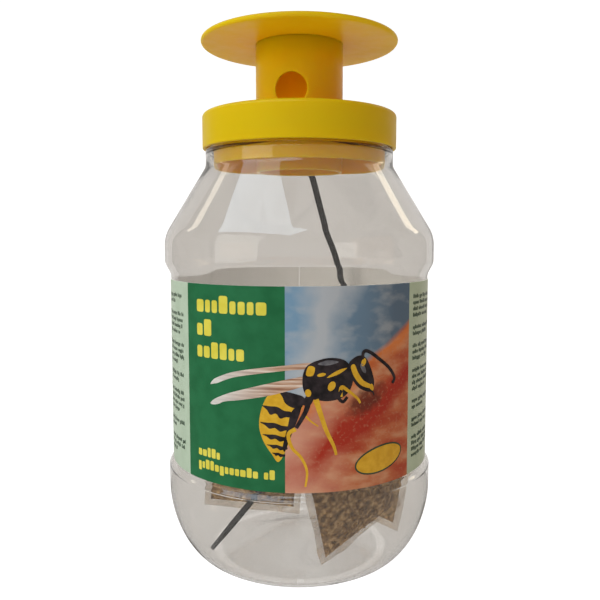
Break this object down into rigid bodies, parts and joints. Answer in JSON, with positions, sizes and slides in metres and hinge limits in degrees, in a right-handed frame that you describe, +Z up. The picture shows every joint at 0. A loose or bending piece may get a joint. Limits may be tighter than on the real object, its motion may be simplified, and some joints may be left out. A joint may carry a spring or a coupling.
{
  "type": "wasp bait trap",
  "caption": "Clear wide-mouth screw jar with a recessed label, a yellow lid with an entry tube under a flat rain roof, bait sachets and a hanging tie inside.",
  "frame": {"origin": "centre of the jar's foot ring, on the table", "axes": "+Z up along the jar's axis, -Y out of the front of the label, +X to the right seen from the front"},
  "size_m": [0.122, 0.122, 0.2335],
  "materials": {
    "clear_pet": "clear, glossy",
    "label_paper": "printed, satin",
    "yellow_lid": "satin gloss",
    "yellow_insert": "gloss",
    "black_nylon": "satin",
    "clear_film": "clear film",
    "bait": "dried granules"
  },
  "bodies": {
    "jar_body": {"jar": "clear_pet", "label": "label_paper", "cable_tie": "black_nylon", "sachet_left_film": "clear_film", "sachet_left_bait": "bait", "sachet_front_film": "clear_film", "sachet_front_bait": "bait", "sachet_right_film": "clear_film", "sachet_right_bait": "bait"},
    "tower": {"entry_insert": "yellow_insert", "rain_roof": "yellow_lid"},
    "lid": {"screw_lid": "yellow_lid"}
  },
  "joints": [
    {"name": "lid_lift", "type": "slide", "parent": "jar_body", "child": "tower", "axis": [0, 0, 1], "range_m": [0, 0.00626]},
    {"name": "lid_turn", "type": "hinge", "parent": "tower", "child": "lid", "pos_m": [0, 0, 0.1931], "axis": [0, 0, 1], "range_deg": [0, 450]}
  ],
  "couplings": [
    {"joint": "lid_lift", "follows": "lid_turn", "m_per_rad": 0.00079577}
  ]
}
